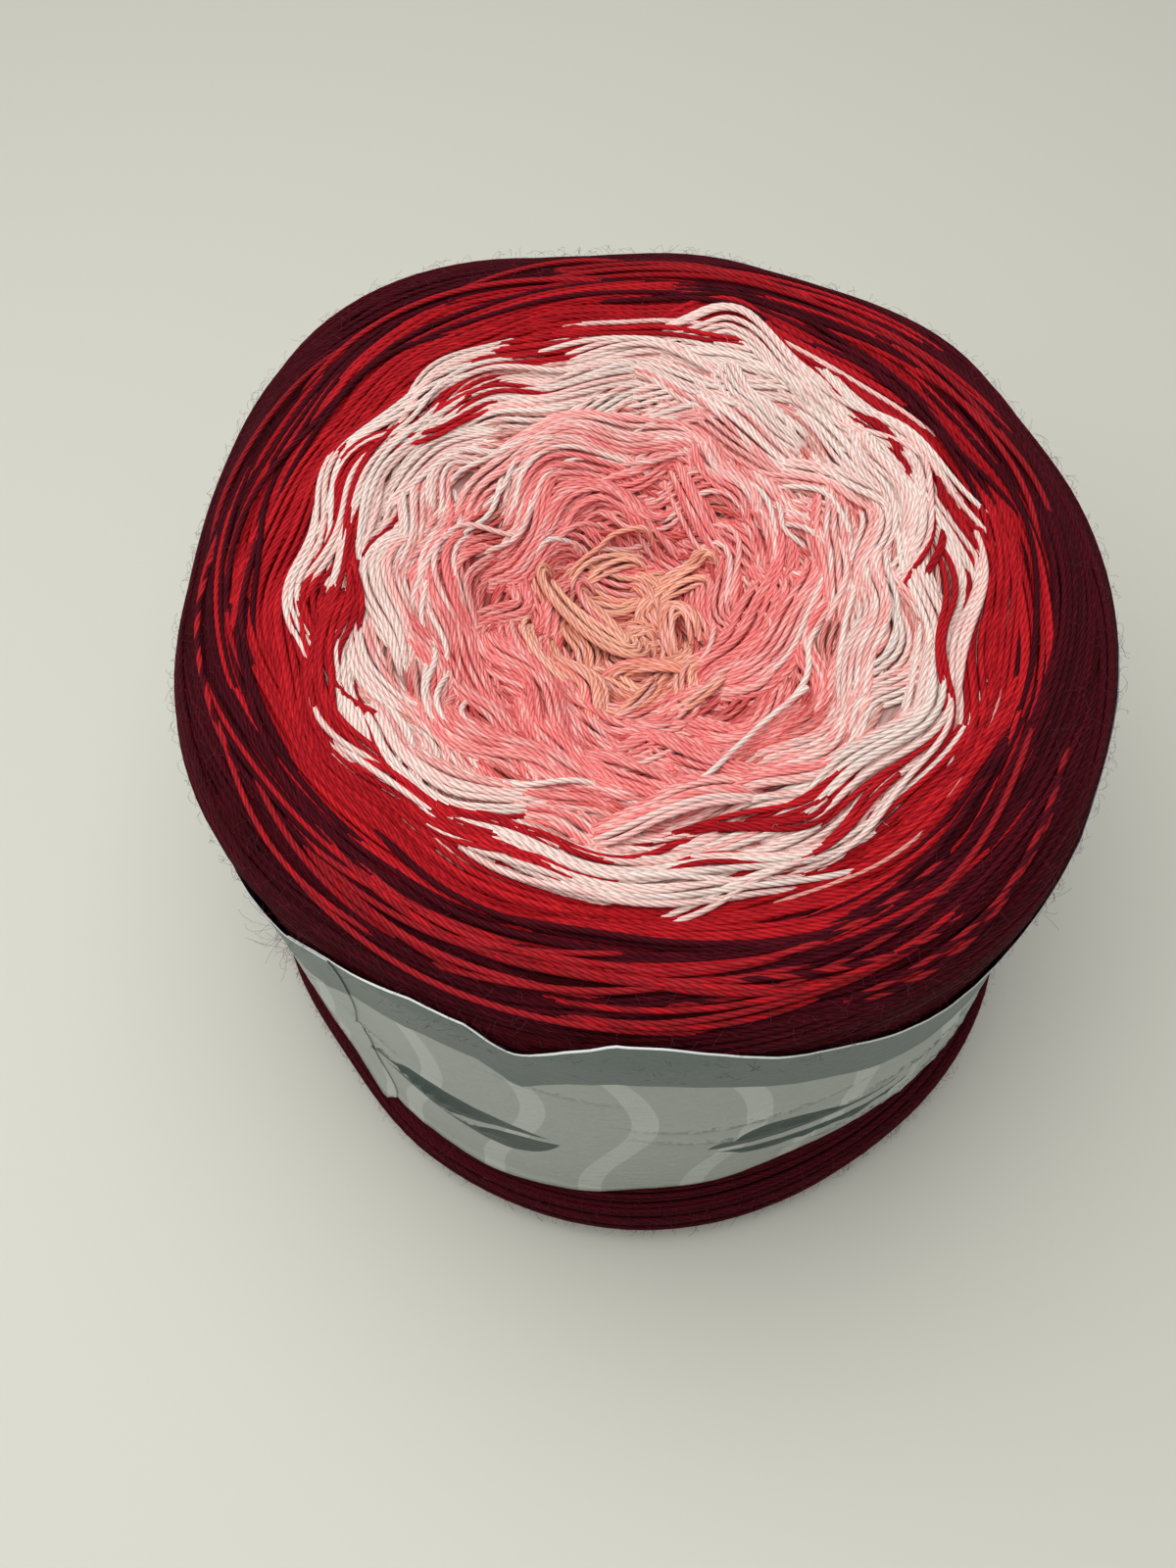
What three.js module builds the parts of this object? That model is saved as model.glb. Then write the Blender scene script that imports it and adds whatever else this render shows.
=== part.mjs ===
// A cake of gradient yarn in a paper band, in millimetres, +Z up.
// The origin is the middle of the flat underside that the cake rests on.
import * as THREE from 'three';

// Driving dimensions
const RIM_RADIUS = 75;
const STEPS_AROUND = 96;
const PROFILE_STEPS = 46;
const BASE_STEPS = 5;
const YARN_DIAMETER = 1;

// The turns of the top lie round a middle that is a little in front of the base's middle
const WINDING_MIDDLE = { x: -1, y: -5 };
const MIDDLE_HOLDS_TO = 45;

// The cake has been pressed a little oval, one way at the foot and another at the shoulder
const FOOT_OVAL = { amount: 3.75, azimuth: 96, to: 20 };
const SHOULDER_OVAL = { amount: 2.25, azimuth: 116, from: 70 };

// Where the wound form bulges out, or in where the amount is below 0: the middle of each
// place round the cake and up it, and how far it spreads either way
const BULGES = [
  { azimuth: 14, spread: 44, height: 86, reach: 50, amount: 1.7 },
  { azimuth: 45, spread: 26, height: 86, reach: 50, amount: 4 },
  { azimuth: 76, spread: 28, height: 86, reach: 50, amount: 2.4 },
  { azimuth: 121, spread: 36, height: 86, reach: 50, amount: 6.6 },
  { azimuth: 170, spread: 28, height: 86, reach: 50, amount: -2.6 },
  { azimuth: 213, spread: 24, height: 86, reach: 40, amount: 1.8 },
  { azimuth: 308, spread: 22, height: 86, reach: 40, amount: 1.1 },
  { azimuth: 221, spread: 18, height: 20, reach: 22, amount: -2.8 },
  { azimuth: 288, spread: 26, height: 22, reach: 22, amount: -1.3 },
  { azimuth: 213, spread: 20, height: 4, reach: 12, amount: -1 },
  { azimuth: 268, spread: 40, height: 4, reach: 14, amount: 1.4 },
  { azimuth: 328, spread: 34, height: 4, reach: 14, amount: 1.9 },
];

// The wound form from the middle of the dip, over the shoulder and down to the floor
const PROFILE = [
  { radius: 0, height: 79.6 },
  { radius: 6, height: 80 },
  { radius: 12, height: 81.6 },
  { radius: 20, height: 85 },
  { radius: 30, height: 89.4 },
  { radius: 38, height: 92 },
  { radius: 46, height: 93.2 },
  { radius: 54, height: 93.8 },
  { radius: 62, height: 93.4 },
  { radius: 68, height: 92 },
  { radius: 72, height: 89.6 },
  { radius: 74.4, height: 86.6 },
  { radius: 75, height: 83 },
  { radius: 74, height: 75 },
  { radius: 73, height: 60 },
  { radius: 72, height: 42 },
  { radius: 71.2, height: 25 },
  { radius: 71, height: 17 },
  { radius: 72.6, height: 12.4 },
  { radius: 73.7, height: 8.5 },
  { radius: 72.9, height: 4.4 },
  { radius: 70.6, height: 1.5 },
  { radius: 67, height: 0 },
];
const SHOULDER_HEIGHT = 83;

// The main twists of the loosened turns on the top: each bundle runs from one azimuth to
// another about the winding's middle, through four radii, and stands up by its rise
const BUNDLES = [
  { from: 126, to: 60, radii: [36, 36, 33, 32], halfWidth: 3.6, rise: 2.4 },
  { from: 140, to: 76, radii: [27, 30, 30, 27], halfWidth: 3.4, rise: 2.4 },
  { from: 138, to: 72, radii: [19, 24, 23, 18], halfWidth: 3.2, rise: 2.2 },
  { from: 76, to: 36, radii: [30, 24, 19, 20], halfWidth: 3.2, rise: 2.4 },
  { from: 72, to: 34, radii: [34, 29, 29, 26], halfWidth: 3.2, rise: 2.4 },
  { from: 34, to: -58, radii: [30, 21, 12, 15], halfWidth: 4.0, rise: 2.2 },
  { from: 20, to: -50, radii: [31, 25, 20, 17], halfWidth: 4.0, rise: 2.2 },
  { from: 180, to: 250, radii: [22, 17, 20, 27], halfWidth: 4.0, rise: 2.8 },
  { from: 190, to: 256, radii: [16, 12, 12, 19], halfWidth: 3.2, rise: 2.0 },
  { from: 144, to: 188, radii: [30, 30, 29, 27], halfWidth: 3.6, rise: 2.0 },
  { from: 204, to: 262, radii: [35, 34, 31, 33], halfWidth: 3.8, rise: 2.2 },
  { from: 246, to: 286, radii: [29, 26, 33, 38], halfWidth: 3.4, rise: 2.2 },
  { from: 262, to: 302, radii: [20, 22, 32, 40], halfWidth: 3.4, rise: 2.0 },
  { from: 270, to: 316, radii: [42, 37, 40, 43], halfWidth: 4.2, rise: 2.6 },
  { from: 202, to: 252, radii: [43, 46, 42, 35], halfWidth: 4.2, rise: 2.4 },
  { from: 84, to: 44, radii: [53, 58, 51, 50], halfWidth: 3.8, rise: 2.8 },
  { from: 72, to: 42, radii: [51, 43, 40, 42], halfWidth: 3.8, rise: 2.4 },
  { from: 76, to: 36, radii: [45, 37, 37, 37], halfWidth: 3.6, rise: 2.2 },
  { from: 44, to: 8, radii: [50, 46, 46, 43], halfWidth: 3.6, rise: 2.2 },
  { from: 38, to: -6, radii: [50, 52, 47, 40], halfWidth: 3.6, rise: 2.2 },
  { from: 36, to: -10, radii: [38, 33, 30, 33], halfWidth: 3.6, rise: 2.2 },
  { from: 122, to: 178, radii: [50, 47, 45, 42], halfWidth: 3.6, rise: 1.8 },
  { from: 172, to: 216, radii: [44, 46, 49, 51], halfWidth: 3.8, rise: 2.0 },
  { from: 222, to: 288, radii: [50, 47, 48, 50], halfWidth: 3.8, rise: 2.2 },
  { from: 286, to: 350, radii: [47, 44, 48, 46], halfWidth: 4.0, rise: 2.2 },
  { from: 118, to: 84, radii: [45, 42, 43, 46], halfWidth: 3.8, rise: 2.0 },
  { from: 148, to: 200, radii: [36, 38, 36, 37], halfWidth: 3.6, rise: 1.8 },
  { from: 16, to: -40, radii: [40, 38, 36, 40], halfWidth: 3.8, rise: 2.0 },
];
const BUNDLE_END_FADE = 12;

// The paper band: heights of its edges, in steps round the cake, from an azimuth of 0
const BAND_THICKNESS = 1;
const BAND_CLEARANCE = 0.5;
const BAND_ROWS = 8;
const BAND_EDGES = [
  { azimuth: 0, lower: 17, upper: 81 },
  { azimuth: 75, lower: 15, upper: 83 },
  { azimuth: 120, lower: 15, upper: 81 },
  { azimuth: 180, lower: 14.5, upper: 74 },
  { azimuth: 205, lower: 16, upper: 69 },
  { azimuth: 220, lower: 16.5, upper: 69 },
  { azimuth: 229, lower: 16, upper: 77 },
  { azimuth: 243, lower: 16, upper: 86 },
  { azimuth: 249, lower: 16, upper: 84.5 },
  { azimuth: 254, lower: 16.2, upper: 78 },
  { azimuth: 260, lower: 17, upper: 83 },
  { azimuth: 267, lower: 18.5, upper: 87.5 },
  { azimuth: 272, lower: 19.5, upper: 88 },
  { azimuth: 282, lower: 21, upper: 84.5 },
  { azimuth: 290, lower: 21.5, upper: 77 },
  { azimuth: 295, lower: 20.5, upper: 73 },
  { azimuth: 303, lower: 19.5, upper: 69.5 },
  { azimuth: 314, lower: 19, upper: 69 },
  { azimuth: 326, lower: 18.5, upper: 79 },
  { azimuth: 345, lower: 17.5, upper: 81 },
  { azimuth: 360, lower: 17, upper: 81 },
];
// Where the paper's edge stands off the yarn
const STAND_OFF = { azimuth: 10, spread: 60, amount: 0.8, from: 60 };

// The loose end of the yarn: where it runs on the top, seen from above
const LOOSE_END_LIFT = 1.8;
const LOOSE_END_STEPS = 16;
const LOOSE_END_ROUTE = [
  { x: 2.2, y: -43.4 },
  { x: 5.5, y: -40.8 },
  { x: 8.9, y: -37.6 },
  { x: 11.6, y: -34.0 },
  { x: 14.2, y: -30.6 },
  { x: 17.4, y: -27.4 },
  { x: 20.8, y: -24.6 },
  { x: 24.2, y: -22.2 },
];

const PAPER = { color: 0xb9bcb6, roughness: 0.6, metalness: 0 };
const YARN = { color: 0xa01c2a, roughness: 0.9, metalness: 0 };
const PALE_YARN = { color: 0xf0dcd6, roughness: 0.9, metalness: 0 };

const radians = THREE.MathUtils.degToRad;
const clamp = THREE.MathUtils.clamp;
const smooth = (t) => THREE.MathUtils.smoothstep(t, 0, 1);

// A value read from a table's rows by azimuth in degrees, eased between rows
function atAzimuth(rows, name, degrees) {
  const turned = THREE.MathUtils.euclideanModulo(degrees, 360);
  const next = Math.max(rows.findIndex((row) => row.azimuth > turned), 1);
  const [before, after] = [rows[next - 1], rows[next]];
  const share = smooth((turned - before.azimuth) / (after.azimuth - before.azimuth));
  return THREE.MathUtils.lerp(before[name], after[name], share);
}

// How far one azimuth is from another in degrees, the shorter way round
function degreesBetween(azimuth, place) {
  const turned = THREE.MathUtils.radToDeg(azimuth) - place;
  return Math.abs(THREE.MathUtils.euclideanModulo(turned + 180, 360) - 180);
}

// How far the wall bows in or out at an azimuth and a height
function bowAt(azimuth, height) {
  const oval = ({ amount, azimuth: longWay }) => amount * Math.cos(2 * (azimuth - radians(longWay)));
  const upwards = clamp((height - FOOT_OVAL.to) / (SHOULDER_OVAL.from - FOOT_OVAL.to), 0, 1);
  let bow = THREE.MathUtils.lerp(oval(FOOT_OVAL), oval(SHOULDER_OVAL), upwards);
  for (const bulge of BULGES) {
    const beside = smooth(1 - degreesBetween(azimuth, bulge.azimuth) / bulge.spread);
    bow += bulge.amount * beside * smooth(1 - Math.abs(height - bulge.height) / bulge.reach);
  }
  return bow;
}

// The radius of a bundle's middle line at a share of its way round
function bundleRadius(radii, share) {
  const place = clamp(share, 0, 1) * (radii.length - 1);
  const index = Math.min(Math.floor(place), radii.length - 2);
  return THREE.MathUtils.lerp(radii[index], radii[index + 1], smooth(place - index));
}

// How high the bundles stand at a place on the top, about the winding's middle
function bundleRise(radius, azimuth) {
  let highest = 0;
  for (const bundle of BUNDLES) {
    const low = Math.min(bundle.from, bundle.to);
    const high = Math.max(bundle.from, bundle.to);
    let degrees = THREE.MathUtils.radToDeg(azimuth);
    while (degrees < low - BUNDLE_END_FADE) degrees += 360;
    while (degrees > high + BUNDLE_END_FADE && degrees - 360 >= low - BUNDLE_END_FADE) degrees -= 360;
    const inside = Math.min(degrees - low, high - degrees);
    const along = smooth((inside + BUNDLE_END_FADE / 2) / BUNDLE_END_FADE);
    const share = (degrees - bundle.from) / (bundle.to - bundle.from);
    const across = Math.abs(radius - bundleRadius(bundle.radii, share)) / bundle.halfWidth;
    highest = Math.max(highest, bundle.rise * along * Math.exp(-across * across));
  }
  return highest;
}

// The point of the wound surface at an azimuth, for one step of the profile
function cakePoint(radius, height, azimuth) {
  const onTop = height > SHOULDER_HEIGHT;
  const middle = onTop ? 1 - smooth((radius - MIDDLE_HOLDS_TO) / (RIM_RADIUS - MIDDLE_HOLDS_TO)) : 0;
  const reach = radius + bowAt(azimuth, height) * (radius / RIM_RADIUS) ** 3;
  return new THREE.Vector3(
    WINDING_MIDDLE.x * middle + reach * Math.cos(azimuth),
    WINDING_MIDDLE.y * middle + reach * Math.sin(azimuth),
    height + (onTop ? bundleRise(radius, azimuth) : 0),
  );
}

const profileCurve = new THREE.SplineCurve(PROFILE.map((row) => new THREE.Vector2(row.radius, row.height)));

// Joins rings of points into one closed skin, with a point at each end
function closedSkin(rings, firstPoint, lastPoint) {
  const positions = [firstPoint, ...rings.flat(), lastPoint].flatMap((point) => point.toArray());
  const count = rings[0].length;
  const last = rings.length * count + 1;
  const faces = [];
  for (let i = 0; i < count; i += 1) {
    const next = (i + 1) % count;
    faces.push(0, 1 + i, 1 + next);
    faces.push(last, last - count + next, last - count + i);
    for (let ring = 0; ring < rings.length - 1; ring += 1) {
      const a = 1 + ring * count + i;
      const b = 1 + ring * count + next;
      faces.push(a, a + count, b + count, a, b + count, b);
    }
  }
  const geometry = new THREE.BufferGeometry();
  geometry.setAttribute('position', new THREE.Float32BufferAttribute(positions, 3));
  geometry.setIndex(faces);
  geometry.computeVertexNormals();
  return geometry;
}

const azimuthOf = (step) => (2 * Math.PI * step) / STEPS_AROUND;

function ringOf(pointAt) {
  return Array.from({ length: STEPS_AROUND }, (_, step) => pointAt(azimuthOf(step)));
}

// The wound yarn as one solid: dip, twisted bundles, shoulder, waist, bulge and flat underside
function woundYarn() {
  const steps = profileCurve.getSpacedPoints(PROFILE_STEPS).slice(1);
  const rings = steps.map(({ x, y }) => ringOf((azimuth) => cakePoint(x, Math.max(y, 0), azimuth)));
  const foot = PROFILE.at(-1).radius;
  for (let step = 1; step < BASE_STEPS; step += 1) {
    const radius = foot * (1 - step / BASE_STEPS);
    rings.push(ringOf((azimuth) => cakePoint(radius, 0, azimuth)));
  }
  const dip = cakePoint(0, PROFILE[0].height, 0);
  return closedSkin(rings, dip, new THREE.Vector3(0, 0, 0));
}

// The profile's points below the shoulder, for reading the wall's radius at a height
const wallPoints = profileCurve.getPoints(400).filter((point, i) => i > 200 && point.x > RIM_RADIUS - 8);

function wallRadius(height, azimuth) {
  const above = wallPoints.findIndex((point) => point.y < height);
  const [high, low] = [wallPoints[above - 1], wallPoints[above]];
  const share = (high.y - height) / (high.y - low.y);
  const radius = THREE.MathUtils.lerp(high.x, low.x, share);
  return radius + bowAt(azimuth, height) * (radius / RIM_RADIUS) ** 3;
}

// How far the paper stands off the yarn towards its upper edge
function standOff(azimuth, height) {
  const side = smooth(1 - degreesBetween(azimuth, STAND_OFF.azimuth) / STAND_OFF.spread);
  return STAND_OFF.amount * side * smooth((height - STAND_OFF.from) / (SHOULDER_HEIGHT - STAND_OFF.from));
}

// The band as one thin closed sleeve: up the inside, over the edge and down the outside
function paperBand() {
  const rows = [];
  const layer = (offset, share) => ringOf((azimuth) => {
    const degrees = THREE.MathUtils.radToDeg(azimuth);
    const lower = atAzimuth(BAND_EDGES, 'lower', degrees);
    const upper = atAzimuth(BAND_EDGES, 'upper', degrees);
    const height = THREE.MathUtils.lerp(lower, upper, share);
    const onWall = Math.min(height, SHOULDER_HEIGHT - 0.5);
    const radius = wallRadius(onWall, azimuth) + BAND_CLEARANCE + offset + standOff(azimuth, height);
    return new THREE.Vector3(radius * Math.cos(azimuth), radius * Math.sin(azimuth), height);
  });
  for (let row = 0; row < BAND_ROWS; row += 1) rows.push(layer(0, row / (BAND_ROWS - 1)));
  for (let row = BAND_ROWS - 1; row >= 0; row -= 1) rows.push(layer(BAND_THICKNESS, row / (BAND_ROWS - 1)));
  const positions = rows.flat().flatMap((point) => point.toArray());
  const faces = [];
  for (let row = 0; row < rows.length; row += 1) {
    const above = (row + 1) % rows.length;
    for (let i = 0; i < STEPS_AROUND; i += 1) {
      const next = (i + 1) % STEPS_AROUND;
      const [a, b] = [row * STEPS_AROUND + i, row * STEPS_AROUND + next];
      const [c, d] = [above * STEPS_AROUND + next, above * STEPS_AROUND + i];
      faces.push(a, c, b, a, d, c);
    }
  }
  const geometry = new THREE.BufferGeometry();
  geometry.setAttribute('position', new THREE.Float32BufferAttribute(positions, 3));
  geometry.setIndex(faces);
  geometry.computeVertexNormals();
  return geometry;
}

// The height of the wound surface under a place near the winding's middle
function topHeight(x, y) {
  const radius = Math.hypot(x - WINDING_MIDDLE.x, y - WINDING_MIDDLE.y);
  const azimuth = Math.atan2(y - WINDING_MIDDLE.y, x - WINDING_MIDDLE.x);
  const points = profileCurve.getPoints(400);
  const after = points.findIndex((point) => point.x > radius);
  const share = (radius - points[after - 1].x) / (points[after].x - points[after - 1].x);
  return THREE.MathUtils.lerp(points[after - 1].y, points[after].y, share) + bundleRise(radius, azimuth);
}

function looseEnd() {
  const route = new THREE.CatmullRomCurve3(
    LOOSE_END_ROUTE.map(({ x, y }) => new THREE.Vector3(x, y, topHeight(x, y) + LOOSE_END_LIFT)),
  );
  const section = new THREE.Shape();
  section.absarc(0, 0, YARN_DIAMETER / 2, 0, 2 * Math.PI);
  return new THREE.ExtrudeGeometry(section, { steps: LOOSE_END_STEPS, curveSegments: 8, extrudePath: route });
}

function addPiece(group, name, geometry, finish) {
  const piece = new THREE.Mesh(geometry, new THREE.MeshStandardMaterial(finish));
  piece.name = name;
  group.add(piece);
}

const yarnCake = new THREE.Group();
addPiece(yarnCake, 'wound_yarn', woundYarn(), YARN);
addPiece(yarnCake, 'paper_band', paperBand(), PAPER);
addPiece(yarnCake, 'loose_end', looseEnd(), PALE_YARN);

export default yarnCake;
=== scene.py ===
# %% [markdown]
# This notebook draws a cake of gradient yarn in its paper band. A winding machine lays one long
# yarn round and round from the middle outwards, so the colours change from the middle to the
# rim. The cake's top has loosened: bundles of turns have slipped and lie over each other in
# short waves. All sizes below are in millimetres and are turned into metres when a mesh is made.

# %% Frame and measures
import math
import bpy
import numpy as np
from mathutils import Matrix, Vector
from mathutils.bvhtree import BVHTree


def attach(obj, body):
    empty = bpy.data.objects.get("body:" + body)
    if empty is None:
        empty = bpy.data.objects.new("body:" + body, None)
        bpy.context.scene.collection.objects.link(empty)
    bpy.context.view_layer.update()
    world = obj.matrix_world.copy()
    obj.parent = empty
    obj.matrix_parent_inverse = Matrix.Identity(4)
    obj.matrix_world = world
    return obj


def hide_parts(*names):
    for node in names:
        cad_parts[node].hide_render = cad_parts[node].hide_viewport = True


MM = 0.001


def table(columns, rows):
    """A list of rows, each with its values by column name."""
    return [dict(zip(columns.split(), row)) for row in rows]


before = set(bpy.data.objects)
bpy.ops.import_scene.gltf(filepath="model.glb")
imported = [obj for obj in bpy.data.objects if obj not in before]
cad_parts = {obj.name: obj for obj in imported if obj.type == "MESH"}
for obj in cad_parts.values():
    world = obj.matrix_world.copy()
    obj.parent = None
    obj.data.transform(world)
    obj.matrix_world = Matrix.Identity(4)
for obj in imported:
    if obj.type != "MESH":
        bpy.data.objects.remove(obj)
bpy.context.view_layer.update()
rng = np.random.default_rng(41)

# %% [markdown]
# The camera looks down at the cake from in front, with a wide phone lens. It is set first,
# because cords are measured against what it sees.

# %% Camera
CAMERA_TARGET = Vector((-8.7, -39.3, 95.0))
CAMERA_DISTANCE = 218.8
CAMERA_PITCH = math.radians(59.34)
CAMERA_ROLL = math.radians(-2.4)
LENS_MM = 36.0
SENSOR_MM = 36.0

forward = Vector((0.0, math.cos(CAMERA_PITCH), -math.sin(CAMERA_PITCH)))
level = Vector((1.0, 0.0, 0.0))
steep = level.cross(forward)
right = math.cos(CAMERA_ROLL) * level + math.sin(CAMERA_ROLL) * steep
upward = math.cos(CAMERA_ROLL) * steep - math.sin(CAMERA_ROLL) * level

camera_data = bpy.data.cameras.new("camera")
camera_data.lens = LENS_MM
camera_data.sensor_width = SENSOR_MM
camera = bpy.data.objects.new("camera", camera_data)
bpy.context.scene.collection.objects.link(camera)
camera.matrix_world = Matrix([
    (right.x, upward.x, -forward.x, (CAMERA_TARGET.x - CAMERA_DISTANCE * forward.x) * MM),
    (right.y, upward.y, -forward.y, (CAMERA_TARGET.y - CAMERA_DISTANCE * forward.y) * MM),
    (right.z, upward.z, -forward.z, (CAMERA_TARGET.z - CAMERA_DISTANCE * forward.z) * MM),
    (0.0, 0.0, 0.0, 1.0),
])
bpy.context.scene.camera = camera
print("camera at", [round(v / MM, 1) for v in camera.matrix_world.translation])

# %% [markdown]
# Every strand lies on the wound form, so the form is read from the frame by casting rays at it.
# A place on it has two numbers: an azimuth, and the reach, which is the way over the surface
# from the middle of the top. The reach goes over the shoulder and on down the wall.

# %% Reading the wound form
WINDING_MIDDLE = np.array([-1.0, -5.0])
MIDDLE_HOLDS_TO = 45.0
MIDDLE_FADES_OVER = 30.0
TOP_OVAL_SHARE = 0.03
TOP_OVAL_AZIMUTH = math.radians(116)
TOP_OVAL_FULL_AT = 75.0
SHOULDER_CORE = {"radius": 60.0, "height": 79.0}
SHOULDER_ARC = 23.0
FOOT_CORE = {"radius": 66.0, "height": 7.0}
FOOT_INSET = 0.93
FOOT_ARC = 11.0
AIM_FROM_ABOVE = 60.0
AIM_FROM_BELOW = 20.0
RAY_STARTS = 70.0
SHOULDER_FROM = SHOULDER_CORE["radius"]
WALL_FROM = SHOULDER_FROM + SHOULDER_ARC
FOOT_FROM = WALL_FROM + SHOULDER_CORE["height"] - FOOT_CORE["height"]
UNDER_FROM = FOOT_FROM + FOOT_ARC
REACH_END = UNDER_FROM + FOOT_CORE["radius"]

cake_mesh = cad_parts["wound_yarn"].data
cake_form = BVHTree.FromPolygons(
    [v.co / MM for v in cake_mesh.vertices],
    [p.vertices[:] for p in cake_mesh.polygons],
)


def smooth_step(value):
    value = np.clip(value, 0.0, 1.0)
    return value * value * (3 - 2 * value)


def ray_at(azimuth, reach):
    """The point inside the cake that a ray at this place aims at, and the way out."""
    oval = TOP_OVAL_SHARE * math.cos(2 * (azimuth - TOP_OVAL_AZIMUTH))
    bow = 1 + oval * min(reach / TOP_OVAL_FULL_AT, 1) ** 2
    side = np.array([math.cos(azimuth), math.sin(azimuth)])
    shift = WINDING_MIDDLE * (1 - float(smooth_step((reach - MIDDLE_HOLDS_TO) / MIDDLE_FADES_OVER)))
    if reach < SHOULDER_FROM:
        aim = np.append(shift + side * bow * reach, AIM_FROM_ABOVE)
        out = np.array([0.0, 0.0, 1.0])
    elif reach < WALL_FROM:
        turn = math.pi / 2 * (1 - (reach - SHOULDER_FROM) / SHOULDER_ARC)
        aim = np.append(shift + side * bow * SHOULDER_CORE["radius"], SHOULDER_CORE["height"])
        out = np.append(side * math.cos(turn), math.sin(turn))
    elif reach < FOOT_FROM:
        height = SHOULDER_CORE["height"] - (reach - WALL_FROM)
        aim = np.append(side * SHOULDER_CORE["radius"], height)
        out = np.append(side, 0.0)
    elif reach < UNDER_FROM:
        turn = -math.pi / 2 * (reach - FOOT_FROM) / FOOT_ARC
        aim = np.append(side * FOOT_INSET * FOOT_CORE["radius"], FOOT_CORE["height"])
        out = np.append(side * math.cos(turn), math.sin(turn))
    else:
        aim = np.append(side * FOOT_INSET * (REACH_END - reach), AIM_FROM_BELOW)
        out = np.array([0.0, 0.0, -1.0])
    return aim, out


def on_cake(azimuths, reaches, lift):
    """Points on the wound form, lifted off it, and the way out at each."""
    points = []
    outs = []
    for azimuth, reach in zip(azimuths, reaches):
        aim, out = ray_at(float(azimuth), float(reach))
        hit = cake_form.ray_cast(Vector(aim + out * RAY_STARTS), Vector(-out))[0]
        points.append(aim if hit is None else np.array(hit))
        outs.append(out)
    outs = np.array(outs)
    return np.array(points) + outs * np.asarray(lift)[..., None], outs


def evened(values, passes=2):
    """Takes small kinks out of a line of points, and keeps its ends."""
    for _ in range(passes):
        values = values.copy()
        values[1:-1] = (values[:-2] + 2 * values[1:-1] + values[2:]) / 4
    return values


sample, _ = on_cake([0.0, 0.0, 0.0], [0.0, 50.0, 90.0], np.zeros(3))
print("the dip, the crown and the wall", np.round(sample, 1).tolist())

# %% [markdown]
# The yarn is four thin threads that lie side by side with a slight twist. Each thread takes the
# dye a little differently, so the finish reads two near colours and a share from each strand,
# and splits them by the thread's place round it. The grooves between the threads carry painted
# shade, darker and deeper in colour, and the thread tops a painted highlight, a little lighter.

# %% The yarn's finish
THREADS = 4
TWIST_LENGTH = 7.0
# The groove values paint shade between the threads and a highlight on the thread tops.
GROOVE_SHARPNESS = 0.6
GROOVE_SHADE_DEEPENS = 0.62
GROOVE_SHADE_TO_RIDGE_HIGHLIGHT = (0.62, 1.1)
SPECKLE_ALONG = 0.35
SPECKLE_AROUND = 14.0
SPECKLE_TONES = (0.82, 1.16)


def linear(red, green, blue):
    """A colour as a screen shows it, made linear for the shader."""
    channels = np.array([red, green, blue]) / 255
    return np.where(channels < 0.04045, channels / 12.92, ((channels + 0.055) / 1.055) ** 2.4)


def add_node(tree, kind, inputs=None, **settings):
    """Adds a shader node. An input's value is a constant, or a socket to link."""
    node = tree.nodes.new(kind)
    for key, value in settings.items():
        setattr(node, key, value)
    for key, value in (inputs or {}).items():
        if isinstance(value, bpy.types.NodeSocket):
            tree.links.new(value, node.inputs[key])
        else:
            node.inputs[key].default_value = value
    return node


def maths(tree, operation, first, second=0.0):
    node = add_node(tree, "ShaderNodeMath", {0: first, 1: second}, operation=operation)
    return node.outputs[0]


def plus(tree, first, second):
    return maths(tree, "ADD", first, second)


def minus(tree, first, second):
    return maths(tree, "SUBTRACT", first, second)


def times(tree, first, second):
    return maths(tree, "MULTIPLY", first, second)


def unsigned(tree, value):
    return maths(tree, "ABSOLUTE", value)


def sine(tree, value):
    return maths(tree, "SINE", value)


def ranged(tree, value, low, high, start=0.0, end=1.0):
    """Maps a value between start and end to one between low and high."""
    inputs = {0: value, 1: start, 2: end, 3: low, 4: high}
    return add_node(tree, "ShaderNodeMapRange", inputs).outputs[0]


def noise(tree, scale, detail, **more):
    inputs = {"Scale": scale, "Detail": detail, **more}
    return add_node(tree, "ShaderNodeTexNoise", inputs).outputs[0]


def mixed(tree, factor, first, second, blend="MIX"):
    inputs = {0: factor, 6: first, 7: second}
    return add_node(tree, "ShaderNodeMix", inputs, data_type="RGBA", blend_type=blend).outputs[2]


def squared(tree, colour):
    """A colour times itself: deeper, as where light passes through two layers, for painted shade."""
    return mixed(tree, 1.0, colour, colour, "MULTIPLY")


def toned(tree, colour, tone):
    grey = add_node(tree, "ShaderNodeCombineColor", {0: tone, 1: tone, 2: tone})
    return mixed(tree, 1.0, colour, grey.outputs[0], "MULTIPLY")


def own_place(tree):
    """The two lengths or shares that a mesh keeps for the corners of its faces."""
    place = add_node(tree, "ShaderNodeSeparateXYZ", {0: add_node(tree, "ShaderNodeUVMap").outputs[0]})
    return place.outputs[0], place.outputs[1]


def new_finish(name):
    material = bpy.data.materials.new(name)
    material.use_nodes = True
    tree = material.node_tree
    return material, tree, tree.nodes["Principled BSDF"]


def set_surface(tree, surface, colour, relief, strength, distance, constants):
    """Gives the surface its colour, its bump and its constant values."""
    tree.links.new(colour, surface.inputs["Base Color"])
    bump = add_node(tree, "ShaderNodeBump", {"Strength": strength, "Distance": distance, "Height": relief})
    tree.links.new(bump.outputs[0], surface.inputs["Normal"])
    for key, value in constants.items():
        surface.inputs[key].default_value = value


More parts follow.
